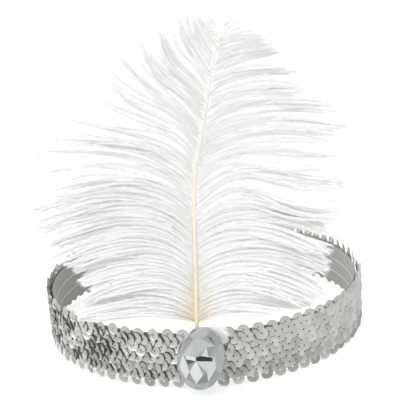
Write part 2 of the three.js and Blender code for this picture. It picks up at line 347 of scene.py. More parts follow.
def makeElastic():
    size = elastic
    outer, inner = size["radius"], size["radius"] - size["wall"]
    rows = size["ribs"] * 4
    profile = []  # radius and height, up the outside and down the inside
    for side, radius in ((1, outer), (-1, inner)):
        for row in range(rows + 1):
            share = row / rows if side > 0 else 1 - row / rows
            dip = size["ribDepth"] * (0.5 - 0.5 * math.cos(2 * math.pi * share * size["ribs"]))
            edge = min(share, 1 - share) * size["height"]
            rounding = size["wall"] / 2 * (1 - min(1, edge / (size["wall"] / 2))) ** 2
            relief = size["ribDepth"] - dip + rounding
            profile.append((radius - side * relief, size["low"] + share * size["height"]))
    count, turns = len(profile), size["around"]
    points = []
    for step in range(turns):
        angle = 2 * math.pi * step / turns
        for radius, height in profile:
            points.append((radius * math.cos(angle) * mm + ring[0], radius * math.sin(angle) * mm + ring[1],
                           height * mm))
    faces, spots = [], []
    for step in range(turns):
        near, far = step * count, (step + 1) % turns * count
        for row in range(count):
            after = (row + 1) % count
            faces.append((near + row, far + row, far + after, near + after))
            for corner, high in ((step, row), (step + 1, row), (step + 1, row + 1), (step, row + 1)):
                spots.append((corner / turns * 2 * math.pi * outer * mm,
                              high / count * 2 * size["height"] * mm))
    mesh = meshFrom("elasticKnit", points, faces)
    layer = mesh.uv_layers.new(name="along")
    layer.data.foreach_set("uv", np.array(spots, np.float32).ravel())
    roundOut(mesh)
    piece = addPiece("elasticKnit", mesh)
    mesh.materials.append(elasticMaterial())
    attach(piece, "root")
    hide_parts("elastic_band")


makeElastic()
print("elastic knitted")


def threadMaterial():
    material, tree, skin = newMaterial("whiteThread")
    place = put(tree, "ShaderNodeTexCoord").outputs["Object"]
    ply = put(tree, "ShaderNodeTexNoise", {"Vector": place, "Scale": 2500.0, "Detail": 2.0}).outputs[0]
    tree.links.new(ramp(tree, ply, [(0.3, 0.72), (0.7, 0.92)]), skin.inputs["Base Color"])
    roughen(tree, skin, ply, 0.4, 0.0001)
    skin.inputs["Roughness"].default_value = 0.7
    return material


def stitchMesh():  # one plump stitch, one unit long and one thick
    sides = 6
    points = [(-0.5, 0, 0), (0.5, 0, 0)]
    for along, radius in ((-0.36, 0.42), (0, 0.5), (0.36, 0.42)):
        for side in range(sides):
            angle = 2 * math.pi * side / sides
            points.append((along, radius * math.cos(angle), radius * math.sin(angle)))
    faces = []
    for side in range(sides):
        after = (side + 1) % sides
        faces += [(0, 2 + after, 2 + side), (1, 14 + side, 14 + after)]
        faces += [(row + side, row + after, row + sides + after, row + sides + side) for row in (2, 8)]
    mesh = meshFrom("stitch", points, faces)
    roundOut(mesh)
    return mesh


def stitchTree():
    tree, given = newTree("stitchLines", {
        "Stitch": "Object", "Finish": "Material", "Every": "Float", "Length": "Float", "Thick": "Float"})
    lines = put(tree, "GeometryNodeMeshToCurve", {"Mesh": given["Geometry"]}).outputs[0]
    spaced = put(tree, "GeometryNodeResampleCurve",
                 {"Curve": lines, "Length": given["Every"]}, mode="LENGTH")
    tangent = put(tree, "GeometryNodeInputTangent").outputs[0]
    along = put(tree, "FunctionNodeAlignRotationToVector", {"Vector": tangent}, axis="X").outputs[0]
    stitch = put(tree, "GeometryNodeObjectInfo", {"Object": given["Stitch"]}).outputs["Geometry"]
    size = put(tree, "ShaderNodeCombineXYZ",
               {0: given["Length"], 1: given["Thick"], 2: given["Thick"]}).outputs[0]
    sewn = put(tree, "GeometryNodeInstanceOnPoints", {
        "Points": spaced.outputs[0], "Instance": stitch, "Rotation": along, "Scale": size})
    endTree(tree, sewn.outputs[0], given["Finish"])
    return tree


def makeSeams():
    inside = elastic["radius"] - elastic["wall"] - seams["proud"]
    count = elastic["around"]
    points, edges = [], []
    for row, share in enumerate(seams["heights"]):
        for step in range(count):
            angle = 2 * math.pi * step / count
            points.append((inside * math.cos(angle) * mm + ring[0], inside * math.sin(angle) * mm + ring[1],
                           (elastic["low"] + share * elastic["height"]) * mm))
            edges.append((row * count + step, row * count + (step + 1) % count))
    piece = grow("insideStitches", meshFrom("seamLines", points, edges=edges), stitchTree(), {
        "Stitch": helperObject("stitchShape", stitchMesh()), "Finish": threadMaterial(),
        "Every": (seams["stitch"] + seams["gap"]) * mm, "Length": seams["stitch"] * mm,
        "Thick": seams["thick"] * mm})
    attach(piece, "root")


makeSeams()
print("seams sewn")


# Quill: the plume's shaft. Its line has shares of its length, sway and setback, as the solid's has.
# It looks broader a little above its middle, by bulge, and thins to fadeTo past fadeFrom.
quill = {
    "length": 160, "hidden": 27, "foot": 6, "side": -5.2, "sway": 23, "setback": 10, "face": 87.65,
    "width": 2.2, "depth": 1.3, "tip": 0.25, "steps": 90, "sides": 16, "groove": 0.18,
    "bulge": 0.7, "bulgeAt": 0.62, "bulgeWidth": 0.17, "fadeFrom": 0.86, "fadeTo": 0.25,
}
quillLine = [
    {"up": 0, "side": 0, "back": 0}, {"up": 0.17, "side": 0.065, "back": 0},
    {"up": 0.315, "side": 0.104, "back": 0.26}, {"up": 0.526, "side": 0.174, "back": 0.62},
    {"up": 0.622, "side": 0.252, "back": 0.76}, {"up": 0.716, "side": 0.417, "back": 0.88},
    {"up": 0.881, "side": 0.67, "back": 0.98}, {"up": 0.939, "side": 0.787, "back": 0.98},
    {"up": 1, "side": 1, "back": 0.92},
]


def smoothLine(knots, count):  # centripetal curve through the knots, in even steps of length
    knots = np.array(knots, float)
    knots = np.vstack([2 * knots[0] - knots[1], knots, 2 * knots[-1] - knots[-2]])
    fine = []
    for before, start, end, after in zip(knots, knots[1:], knots[2:], knots[3:]):
        marks = np.cumsum([0] + [np.linalg.norm(b - a) ** 0.5 for a, b in
                                 ((before, start), (start, end), (end, after))])
        for t in np.linspace(marks[1], marks[2], 40, endpoint=False):
            level = [before, start, end, after]
            for order in (1, 2, 3):
                level = [
                    (level[i] * (marks[i + order] - t) + level[i + 1] * (t - marks[i]))
                    / (marks[i + order] - marks[i]) if order < 3 else
                    (level[0] * (marks[2] - t) + level[1] * (t - marks[1])) / (marks[2] - marks[1])
                    for i in range(len(level) - 1)
                ]
            fine.append(level[0])
    fine = np.array(fine + [knots[-2]])
    run = np.concatenate([[0], np.cumsum(np.linalg.norm(np.diff(fine, axis=0), axis=1))])
    even = np.linspace(0, run[-1], count + 1)
    return np.column_stack([np.interp(even, run, fine[:, axis]) for axis in range(3)])


quillPath = smoothLine([
    (quill["side"] + row["side"] * quill["sway"], row["back"] * quill["setback"] - quill["face"],
     quill["foot"] + row["up"] * quill["length"]) for row in quillLine
], 600) * mm + ring


def quillPoint(share):
    place = np.clip(share, 0, 1) * (len(quillPath) - 1)
    low = min(int(place), len(quillPath) - 2)
    return quillPath[low] + (quillPath[low + 1] - quillPath[low]) * (place - low)


def quillFrame(share):  # directions across the plume and out of its front
    step = 0.004
    tangent = quillPoint(min(1, share + step)) - quillPoint(max(0, share - step))
    tangent /= np.linalg.norm(tangent)
    out = np.cross((1, 0, 0), tangent)
    out /= np.linalg.norm(out)
    return np.cross(tangent, out), out


def quillHalf(share):
    bulge = quill["bulge"] * math.exp(-((share - quill["bulgeAt"]) / quill["bulgeWidth"]) ** 2)
    past = max(0, (share - quill["fadeFrom"]) / (1 - quill["fadeFrom"]))
    fade = 1 - (1 - quill["fadeTo"]) * past
    return quill["width"] / 2 * mm * (1 + (quill["tip"] - 1) * share) * (1 + bulge) * fade


def quillMaterial():
    material, tree, skin = newMaterial("creamHorn")
    place = put(tree, "ShaderNodeTexCoord").outputs["Object"]
    height = put(tree, "ShaderNodeSeparateXYZ", {0: place}).outputs["Z"]
    share = remap(tree, height, (quill["foot"] * mm, (quill["foot"] + quill["length"]) * mm))
    body = ramp(tree, share, [
        (0.12, (0.82, 0.68, 0.43)), (0.28, (0.87, 0.79, 0.58)), (0.45, (0.87, 0.82, 0.68)),
        (0.75, (0.84, 0.82, 0.77)),
    ])
    streaks = put(tree, "ShaderNodeMapping", {"Vector": place, "Scale": (3000, 3000, 60)}).outputs[0]
    grain = put(tree, "ShaderNodeTexNoise", {"Vector": streaks, "Scale": 1.0, "Detail": 3.0}).outputs[0]
    shade = ramp(tree, grain, [(0.25, 0.8), (0.7, 1.0)])
    tree.links.new(times(tree, body, shade), skin.inputs["Base Color"])
    roughen(tree, skin, grain, 0.2, 0.0001)
    skin.inputs["Roughness"].default_value = 0.38
    skin.inputs["Subsurface Weight"].default_value = 0.15
    skin.inputs["Subsurface Radius"].default_value = (0.001, 0.0007, 0.0004)
    return material


def makeQuill():
    steps, sides = quill["steps"], quill["sides"]
    points, faces = [], []
    for step in range(steps + 1):
        share = step / steps
        middle = quillPoint(share)
        across, out = quillFrame(share)
        half = quillHalf(share)
        deep = half * quill["depth"] / quill["width"]
        for side in range(sides):
            angle = 2 * math.pi * side / sides
            front = math.sin(angle)
            dent = 1 - quill["groove"] * max(0, front) ** 6  # the shaft's shallow groove
            points.append(middle + across * half * math.cos(angle) + out * deep * front * dent)
    for step in range(steps):
        for side in range(sides):
            after = (side + 1) % sides
            near, far = step * sides, (step + 1) * sides
            faces.append((near + side, near + after, far + after, far + side))
    faces += [tuple(range(sides)), tuple(range(steps * sides, (steps + 1) * sides))]
    mesh = meshFrom("quillShaft", points, faces)
    faceOut(mesh)
    mesh.polygons.foreach_set("use_smooth", [len(face.vertices) == 4 for face in mesh.polygons])
    mesh.materials.append(quillMaterial())
    piece = addPiece("quillShaft", mesh)
    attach(piece, "root")
    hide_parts("quill")


makeQuill()
print("quill drawn")


# Barbs: ribs with barbules, gathered into wisps and locks. Each row of a side's table is one lock.
# root is its place on the bare quill, and across and up place its tip, as shares of reach. bow
# arches a barb and wave swings it, as shares of its own length. From fullFrom on, a barb's barbules
# have their full length.
plume = {
    "reach": 68, "steps": 14, "perWisp": (2, 5), "lockPull": 0.5, "pullSpread": (0.4, 1.6),
    "wispSpread": 0.08, "knee": 0.33, "bowSize": 0.8, "bowSpread": 0.014, "waveSize": 1.7,
    "waveSpread": 0.011, "gatherSpread": (0.5, 1.1), "gatherPower": 3.4, "longer": (1.03, 1.11),
    "longerFrom": (0.2, 0.38), "footEnd": 0.18, "curl": 2.6, "curlStep": 2.4, "depthSpread": 0.9,
    "curlSpread": 0.3, "rootThick": 0.2, "tipThick": 0.12, "fullFrom": 20, "seed": 7,
    "inset": 0.8, "warmBelow": 34, "whiteFrom": 70, "whiter": 0.4,
}
barbules = {  # angle in degrees and roll in radians; growth, taper and lengths are shares of length
    "every": 0.73, "length": 4.6, "thick": 0.088, "angle": 15, "angles": (0.6, 1.3), "roll": 0.7,
    "lengths": (0.5, 1.1), "growth": 0.75, "grownAt": 0.3, "taper": 0.6, "taperFrom": 0.7,
    "footHeight": 70, "plainHeight": 110, "footThick": 1.8, "plainThick": 1.2,
}
layers = [  # the front barbs are even, the ones behind fill in, and the last thins out above the foot
    {"barbs": 108, "apart": 1.0, "back": 0.0, "spread": 0.15, "jitter": 0.08, "hold": 1.0, "thin": 0},
    {"barbs": 108, "apart": 1.0, "back": 0.45, "spread": 0.32, "jitter": 0.35, "hold": 0.85, "thin": 0},
    {"barbs": 155, "apart": 0.28, "back": 0.8, "spread": 0.16, "jitter": 1, "hold": 0.3, "thin": 4.5},
]
gathers = {  # how far the barbs of a wisp come together at their tips, by root
    "left": [(0, 0.4), (0.17, 0.6), (0.33, 0.9), (0.52, 1.0), (0.72, 0.95), (0.87, 0.6), (1, 0.1)],
    "right": [(0, 0.5), (0.28, 0.7), (0.38, 0.9), (0.6, 0.85), (0.82, 0.65), (1, 0.1)],
}
lockColumns = ("root", "across", "up", "bow", "wave")
leftLocks = [
    (0.000, 0.740, 0.060, 0.07, 0.00), (0.020, 0.757, 0.075, 0.15, 0.00), (0.045, 0.742, 0.080, 0.18, 0.00),
    (0.087, 0.675, 0.062, 0.20, 0.00), (0.132, 0.736, 0.093, 0.21, 0.00),
    (0.173, 0.826, 0.098, 0.22, 0.00), (0.206, 0.927, 0.111, 0.22, 0.00),
    (0.250, 0.971, 0.106, 0.22, 0.00), (0.291, 0.959, 0.178, 0.21, 0.00),
    (0.341, 0.946, 0.143, 0.21, 0.00), (0.370, 0.927, 0.194, 0.20, 0.00),
    (0.400, 0.888, 0.243, 0.18, 0.00), (0.433, 0.895, 0.294, 0.17, 0.00),
    (0.472, 0.804, 0.313, 0.15, 0.01), (0.515, 0.793, 0.343, 0.13, 0.01),
    (0.554, 0.630, 0.420, 0.09, 0.03), (0.592, 0.575, 0.510, 0.07, 0.035),
    (0.617, 0.475, 0.540, 0.02, 0.035), (0.706, 0.345, 0.425, -0.02, 0.035),
    (0.768, 0.240, 0.355, -0.05, 0.03), (0.800, 0.170, 0.365, -0.05, 0.03),
    (0.876, 0.105, 0.240, -0.05, 0.02), (0.958, 0.075, 0.120, -0.05, 0.00),
    (0.990, 0.020, 0.070, 0.00, 0.00),
]
rightLocks = [
    (0.000, 0.680, 0.060, 0.05, 0.00), (0.018, 0.600, 0.020, 0.16, 0.00), (0.053, 0.700, -0.055, 0.19, 0.00),
    (0.104, 0.822, -0.064, 0.20, 0.00), (0.155, 0.812, -0.098, 0.20, 0.00),
    (0.206, 0.877, -0.034, 0.20, 0.00), (0.257, 0.873, -0.067, 0.19, 0.00),
    (0.307, 0.852, -0.032, 0.19, 0.00), (0.357, 0.941, -0.037, 0.18, 0.07),
    (0.390, 0.947, 0.008, 0.17, 0.05), (0.423, 0.946, 0.041, 0.17, 0.04),
    (0.456, 0.939, 0.099, 0.16, 0.04), (0.505, 0.868, 0.064, 0.15, 0.00),
    (0.546, 0.857, 0.109, 0.14, 0.00), (0.585, 0.867, 0.083, 0.14, 0.00),
    (0.642, 0.781, 0.081, 0.13, 0.00), (0.680, 0.672, 0.093, 0.12, 0.00),
    (0.721, 0.600, 0.078, 0.11, 0.00), (0.768, 0.535, 0.075, 0.10, 0.00),
    (0.805, 0.465, 0.085, 0.09, 0.00), (0.846, 0.388, 0.083, 0.08, 0.00),
    (0.876, 0.336, 0.054, 0.07, 0.00), (0.928, 0.240, 0.029, 0.06, 0.00),
    (0.958, 0.130, 0.045, 0.05, 0.00), (0.990, 0.040, 0.070, 0.03, 0.00),
]


def barbFoot(hand, root):
    bare = quill["hidden"] / quill["length"]
    along = bare + (1 - bare) * root
    across, _ = quillFrame(along)
    return quillPoint(along) + across * hand * quillHalf(along) * plume["inset"]


def tipFrom(hand, table, root, foot):  # where a barb from this root would end by itself
    reach = plume["reach"] * mm
    across, up = [np.interp(root, table["root"], table[name]) for name in ("across", "up")]
    return foot + np.array([hand * across * reach, 0, up * reach])


def makeWisps(hand, table, dice):  # neighbouring barbs lean together; each wisp leans to its lock
    front = layers[0]["barbs"]
    roots = table["root"]
    borders = (roots[1:] + roots[:-1]) / 2
    pulls = plume["lockPull"] * dice.uniform(*plume["pullSpread"], len(roots))
    wisps, start = [], 0
    while start < front:
        end = min(start + int(dice.integers(*plume["perWisp"])), front)
        middle = (start + end) / 2 / front
        lock = int(np.searchsorted(borders, middle))
        lockTip = tipFrom(hand, table, roots[lock], barbFoot(hand, roots[lock]))
        tip = tipFrom(hand, table, middle, barbFoot(hand, middle))
        wisps.append({
            "end": end / front, "tip": tip + (lockTip - tip) * pulls[lock],
            "curl": (plume["curl"] * math.sin(lock * plume["curlStep"])
                     + dice.normal(0, plume["depthSpread"])),
            "short": 1 - plume["wispSpread"] * dice.random() ** 2,
        })
        start = end
    return wisps


def barbLines(hand, side, locks, dice):  # one line of points for each barb, from the quill to its tip
    table = dict(zip(lockColumns, np.array(locks).T))
    gatherRoots, gatherShares = np.array(gathers[side]).T
    wisps = makeWisps(hand, table, dice)
    share = np.linspace(0, 1, plume["steps"] + 1)[:, None]
    front = layers[0]["barbs"]
    lines = []
    for layer in layers:
        for barb in range(layer["barbs"]):
            root = max(0, barb + 0.5 + dice.uniform(-1, 1) * layer["jitter"]) * layer["apart"] / front
            if dice.random() < (root - plume["footEnd"]) * layer["thin"]:
                continue
            wisp = next(row for row in wisps if root < row["end"] or row is wisps[-1])
            foot = barbFoot(hand, root) + np.array([0, layer["back"] * mm, 0])
            longer = np.interp(root, plume["longerFrom"], plume["longer"])  # thin ends hardly show
            short = longer * wisp["short"] * (1 - layer["spread"] * dice.random() ** 1.5)
            own = (tipFrom(hand, table, root, foot) - foot) * short
            pull = np.interp(root, gatherRoots, gatherShares) * layer["hold"]
            pull *= dice.uniform(*plume["gatherSpread"])
            chord = own + ((wisp["tip"] - foot) * short - own) * pull
            normal = np.array([-hand * own[2], 0, abs(own[0])])
            bow = np.interp(root, table["root"], table["bow"]) * plume["bowSize"]
            bow += dice.normal(0, plume["bowSpread"])
            wave = np.interp(root, table["root"], table["wave"]) + dice.normal(0, plume["waveSpread"])
            knee = own * plume["knee"] + normal * 2 * bow
            line = foot + knee * 2 * share * (1 - share) + own * share ** 2
            line = line + normal * wave * plume["waveSize"] * share * np.sin(2 * math.pi * share)
            line = line + (chord - own) * share ** plume["gatherPower"]  # together only at the tips
            line[:, 1] -= (wisp["curl"] + dice.normal(0, plume["curlSpread"])) * mm * share[:, 0] ** 2
            lines.append(line)
    return lines


def linesMesh(name, lines):  # the barbs as loose edges; share runs along a barb, fluff fits its length
    points = np.vstack(lines)
    edges, shares, fluffs, start = [], [], [], 0
    for line in lines:
        edges += [(start + i, start + i + 1) for i in range(len(line) - 1)]
        shares += list(np.linspace(0, 1, len(line)))
        fluffs += [min(1, np.linalg.norm(line[-1] - line[0]) / plume["fullFrom"] / mm)] * len(line)
        start += len(line)
    mesh = meshFrom(name, points, edges=edges)
    for label, values in (("share", shares), ("fluff", fluffs)):
        mesh.attributes.new(label, "FLOAT", "POINT").data.foreach_set("value", values)
    return mesh


def barbMaterial(name, tint, tipTint=None):  # warm near the quill's foot, tint further out
    material, tree, skin = newMaterial(name)
    share = put(tree, "ShaderNodeAttribute", attribute_name="share").outputs["Fac"]
    place = put(tree, "ShaderNodeTexCoord").outputs["Object"]
    height = put(tree, "ShaderNodeSeparateXYZ", {0: place}).outputs["Z"]
    ends = (plume["warmBelow"] * mm, plume["whiteFrom"] * mm)
    high = remap(tree, height, ends, (0, plume["whiter"]))
    warm = ramp(tree, calc(tree, "ADD", share, high), [
        (0.0, (0.88, 0.79, 0.61)), (0.14, (0.89, 0.85, 0.77)), (0.34, tint),
        (0.75, tipTint or tint),
    ])
    patch = put(tree, "ShaderNodeTexNoise", {"Vector": place, "Scale": 160.0, "Detail": 2.0}).outputs[0]
    shade = ramp(tree, patch, [(0.3, 0.97), (0.65, 1.0)])
    tree.links.new(times(tree, warm, shade), skin.inputs["Base Color"])
    skin.inputs["Roughness"].default_value = 0.7
    skin.inputs["Sheen Weight"].default_value = 0.2
    return material


def ribTree():
    tree, given = newTree("barbRibs", {"Finish": "Material", "Root Thick": "Float", "Tip Thick": "Float"})
    lines = put(tree, "GeometryNodeMeshToCurve", {"Mesh": given["Geometry"]}).outputs[0]
    share = put(tree, "GeometryNodeInputNamedAttribute", {"Name": "share"}, data_type="FLOAT").outputs[0]
    thick = remap(tree, share, newEnds=(given["Root Thick"], given["Tip Thick"]))
    section = put(tree, "GeometryNodeCurvePrimitiveCircle", {"Resolution": 3, "Radius": 1.0}).outputs[0]
    ribs = put(tree, "GeometryNodeCurveToMesh",
               {"Curve": lines, "Profile Curve": section, "Scale": thick, "Fill Caps": True})
    endTree(tree, ribs.outputs[0], given["Finish"])
    return tree


def barbuleTree():
    size = barbules
    tree, given = newTree("barbules", {
        "Sliver": "Object", "Finish": "Material", "Every": "Float", "Length": "Float", "Thick": "Float",
        "Angle": "Float", "Seed": "Int",
    })
    lines = put(tree, "GeometryNodeMeshToCurve", {"Mesh": given["Geometry"]}).outputs[0]
    spaced = put(tree, "GeometryNodeResampleCurve",
                 {"Curve": lines, "Length": given["Every"]}, mode="LENGTH")
    share = put(tree, "GeometryNodeInputNamedAttribute", {"Name": "share"}, data_type="FLOAT").outputs[0]
    fluff = put(tree, "GeometryNodeInputNamedAttribute", {"Name": "fluff"}, data_type="FLOAT").outputs[0]
    tangent = put(tree, "GeometryNodeInputTangent").outputs[0]
    along = put(tree, "FunctionNodeAlignRotationToVector", {"Vector": tangent}, axis="X").outputs[0]
    flat = put(tree, "FunctionNodeAlignRotationToVector", {"Rotation": along, "Vector": (0, -1, 0)},
               axis="Z", pivot_axis="X").outputs[0]
    sliver = put(tree, "GeometryNodeObjectInfo", {"Object": given["Sliver"]}).outputs["Geometry"]
    place = put(tree, "GeometryNodeInputPosition").outputs[0]
    height = put(tree, "ShaderNodeSeparateXYZ", {0: place}).outputs["Z"]
    fuller = remap(tree, height, (size["footHeight"] * mm, size["plainHeight"] * mm),
                   (size["footThick"], size["plainThick"]))  # the plume is fuller towards its foot
    sides = []
    for side in (-1, 1):

        def dice(low, high, salt):
            node = put(tree, "FunctionNodeRandomValue", {2: low, 3: high}, data_type="FLOAT")
            seed = calc(tree, "ADD", given["Seed"], float(salt + side))
            tree.links.new(seed, node.inputs["Seed"])
            return node.outputs[1]

        roll = put(tree, "ShaderNodeCombineXYZ", {0: dice(-size["roll"], size["roll"], 10)}).outputs[0]
        rolled = put(tree, "FunctionNodeRotateRotation", {"Rotation": flat, "Rotate By": roll},
                     rotation_space="LOCAL").outputs[0]
        yaw = calc(tree, "MULTIPLY", given["Angle"], dice(*size["angles"], 20))
        yaw = calc(tree, "MULTIPLY", yaw, float(side))
        swing = put(tree, "ShaderNodeCombineXYZ", {2: yaw}).outputs[0]
        turned = put(tree, "FunctionNodeRotateRotation", {"Rotation": rolled, "Rotate By": swing},
                     rotation_space="LOCAL").outputs[0]
        growth = remap(tree, share, (0, size["grownAt"]), (size["growth"], 1))
        taper = remap(tree, share, (size["taperFrom"], 1), (1, size["taper"]))
        length = calc(tree, "MULTIPLY", given["Length"], dice(*size["lengths"], 30))
        length = calc(tree, "MULTIPLY", length, growth)
        length = calc(tree, "MULTIPLY", length, calc(tree, "MULTIPLY", taper, fluff))
        thick = calc(tree, "MULTIPLY", given["Thick"], fuller)
        scale = put(tree, "ShaderNodeCombineXYZ", {0: length, 1: thick, 2: thick}).outputs[0]
        placed = put(tree, "GeometryNodeInstanceOnPoints", {
            "Points": spaced.outputs[0], "Instance": sliver, "Rotation": turned, "Scale": scale})
        sides.append(placed.outputs[0])
    joined = put(tree, "GeometryNodeJoinGeometry")
    for side in sides:
        tree.links.new(side, joined.inputs[0])
    endTree(tree, joined.outputs[0], given["Finish"])
    return tree


def sliverMesh():  # a thin pyramid, one unit long
    points = [(0, 1, 0), (0, -0.5, 0.866), (0, -0.5, -0.866), (1, 0, 0)]
    mesh = meshFrom("sliver", points, [(0, 1, 2), (0, 1, 3), (1, 2, 3), (2, 0, 3)])
    faceOut(mesh)
    return mesh


def barbuleValues(sliver, finish, seed):
    size = barbules
    return {
        "Sliver": sliver, "Finish": finish, "Every": size["every"] * mm, "Length": size["length"] * mm,
        "Thick": size["thick"] * mm, "Angle": math.radians(size["angle"]), "Seed": seed,
    }


def makeBarbs():
    dice = np.random.default_rng(plume["seed"])
    # the ribs' greyer tint, lightening towards the tips, is painted shade standing for the barbs' shadowed
    # sides, which draw dark lines near the quill
    ribWhite = barbMaterial("barbWhite", (0.8, 0.8, 0.79), (0.92, 0.92, 0.91))
    downWhite = barbMaterial("barbuleWhite", (0.96, 0.96, 0.96))
    ribs, slivers = ribTree(), barbuleTree()
    sliver = helperObject("sliverShape", sliverMesh())
    for hand, side, locks in ((-1, "left", leftLocks), (1, "right", rightLocks)):
        lines = linesMesh(side + "Lines", barbLines(hand, side, locks, dice))
        rib = grow(side + "BarbRibs", lines, ribs, {
            "Finish": ribWhite, "Root Thick": plume["rootThick"] * mm, "Tip Thick": plume["tipThick"] * mm})
        made = [rib]
        for part, seed in (("Front", 0), ("Back", 50)):
            values = barbuleValues(sliver, downWhite, plume["seed"] + seed)
            made.append(grow(side + "Barbules" + part, lines, slivers, values))
        for piece in made:
            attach(piece, "root")
            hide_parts("barbs_" + side)
            print(piece.name, len(piece.data.polygons), "faces")


# A tuft of down where the plume's foot goes behind the stone
tuft = {
    "barbs": 54, "reach": 15, "rise": 4, "bow": 0.16, "front": 88.8, "foot": 28.5, "thick": 0.05,
    "lengths": (0.6, 1.0), "depths": (-0.4, 0.8), "rises": (-1.2, 0.7), "steps": 8, "seed": 3,
}


def makeTuft():
    dice = np.random.default_rng(tuft["seed"])
    share = np.linspace(0, 1, tuft["steps"] + 1)[:, None]
    foot = ring + np.array([quill["side"], -tuft["front"], tuft["foot"]]) * mm
    lines = []
    for barb in range(tuft["barbs"]):
        reach = tuft["reach"] * dice.uniform(*tuft["lengths"])
        depth, rise = dice.uniform(*tuft["depths"]), tuft["rise"] * dice.uniform(*tuft["rises"])
        chord = np.array([reach, depth, rise]) * mm
        knee = foot + chord * 0.5 + np.array([0, 0, reach * mm * 2 * tuft["bow"]])
        lines.append(foot * (1 - share) ** 2 + knee * 2 * share * (1 - share) + (foot + chord) * share ** 2)
    base = linesMesh("tuftLines", lines)
    white = barbMaterial("downWhite", (0.94, 0.94, 0.93))
    sliver = helperObject("downShape", sliverMesh())
    rib = grow("footDownRibs", base, ribTree(), {
        "Finish": white, "Root Thick": tuft["thick"] * mm, "Tip Thick": tuft["thick"] / 2 * mm})
    down = grow("footDownBarbules", base, barbuleTree(), barbuleValues(sliver, white, tuft["seed"]))
    for piece in (rib, down):
        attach(piece, "root")


makeBarbs()
makeTuft()
print("plume grown")


# Stone: an oval of mirror-backed acrylic. Its face looks a little up and to the left, and leans.
# Corners are (right, up, rise) from the middle of its flat back, as seen from straight ahead.
stone = {
    "wide": 21.5, "tall": 29, "side": -2.4, "foot": 3.8, "lean": 10, "yaw": 12, "tilt": 8, "gap": 0.3,
    "girdle": 2.4, "corners": 64, "plain": 0.45,
}
stoneCorners = {
    "brow": (0.5, 10.7, 5.6), "browLeft": (-7.2, 8.7, 5.0), "browRight": (7.9, 7.3, 5.2),
    "templeLeft": (-4.3, 11.4, 4.2), "templeIn": (-2.4, 9.9, 5.3),
    "templeRight": (3.6, 11.5, 4.8), "templeOut": (5.6, 10.8, 4.3),
    "peak": (3.7, 7.0, 6.6), "peakLeft": (1.4, 3.0, 6.8), "peakRight": (4.7, 2.6, 6.8),
    "beltLeft": (-7.4, 3.1, 5.2), "beltStart": (-5.9, 2.5, 6.0), "beltIn": (-1.2, 2.2, 6.8),
    "beltEnd": (6.2, 2.3, 6.4), "beltRight": (7.1, 2.6, 5.8),
    "hemStart": (-5.9, 1.0, 5.9), "hemIn": (-1.2, 0.5, 6.7), "hemEnd": (6.2, 0.5, 6.3),
    "dip": (-5.0, -1.7, 5.7), "waistLeft": (-4.6, -4.9, 5.5), "waistRight": (3.5, -4.9, 5.6),
    "kiteRight": (1.7, -6.0, 5.6), "footLeft": (-6.9, -9.3, 3.2), "footMiddle": (-2.2, -11.6, 3.1),
    "footRight": (3.4, -9.9, 3.4), "hipLeft": (-9.9, -3.4, 3.2), "hipRight": (7.4, -3.2, 4.6),
}
stoneFacets = [  # corners in order, numbers being places on the oval's rim, and how light the facet is, as a painted reflection
    (("browLeft", "templeIn", "brow", "peak", "peakLeft", "beltIn", "beltStart", "beltLeft"), 0.37),
    (("brow", "browRight", "peak"), 0.27), (("peak", "browRight", "beltRight", "beltEnd", "peakRight"), 0.4),
    (("peak", "peakRight", "peakLeft"), 0.74), (("beltStart", "beltIn", "hemIn", "hemStart"), 0.9),
    (("beltIn", "peakLeft", "peakRight", "beltEnd", "hemEnd", "hemIn"), 0.02),
    (("hemStart", "hemIn", "dip"), 0.1), (("hemIn", "hemEnd", "waistRight"), 0.72),
    (("beltLeft", "beltStart", "hemStart", "dip", "waistLeft"), 0.4), (("dip", "hemIn", "waistLeft"), 0.4),
    (("beltLeft", "waistLeft", "hipLeft"), 0.84), (("hipLeft", "waistLeft", "footLeft"), 1.0),
    (("hemIn", "kiteRight", "waistLeft"), 0.92), (("waistLeft", "kiteRight", "footMiddle"), 1.0),
    (("beltRight", "hipRight", "waistRight"), 0.8), (("waistRight", "hipRight", "footRight"), 0.95),
    (("beltEnd", "beltRight", "waistRight", "hemEnd"), 0.5), (("hemIn", "waistRight", "kiteRight"), 0.42),
    (("waistLeft", "footMiddle", "footLeft"), 0.42),
    (("kiteRight", "waistRight", "footRight", "footMiddle"), 0.34),
    (("brow", "templeRight", "browRight"), 0.22), (("templeRight", "templeOut", "browRight"), 0.1),
    (("templeLeft", "templeIn", "browLeft"), 0.12),
    (("templeLeft", 16, 15, 14, "templeRight", "brow", "templeIn"), 0.22),
    (("templeLeft", "browLeft", 22, 21, 20, 19, 18, 17, 16), 0.26),
    (("templeRight", 14, 13, 12, 11, "templeOut"), 0.28), (("templeOut", 11, 10, 9, 8, 7, "browRight"), 0.3),
    (("browRight", 7, 6, 5, 4, 3, 2, 1, 0, "beltRight"), 0.46),
    (("beltRight", 0, 63, 62, 61, 60, "hipRight"), 0.5),
    (("hipRight", 60, 59, 58, 57, 56, 55, 54, "footRight"), 0.42),
    (("footRight", 54, 53, 52, 51, 50, 49, 48, "footMiddle"), 0.55),
    (("footMiddle", 48, 47, 46, 45, 44, 43, "footLeft"), 0.6),
    (("footLeft", 43, 42, 41, 40, 39, 38, 37, "hipLeft"), 0.5),
    (("hipLeft", 37, 36, 35, 34, 33, 32, "beltLeft"), 0.46),
    (("beltLeft", 32, 31, 30, 29, 28, 27, 26, 25, 24, 23, 22, "browLeft"), 0.42),
]


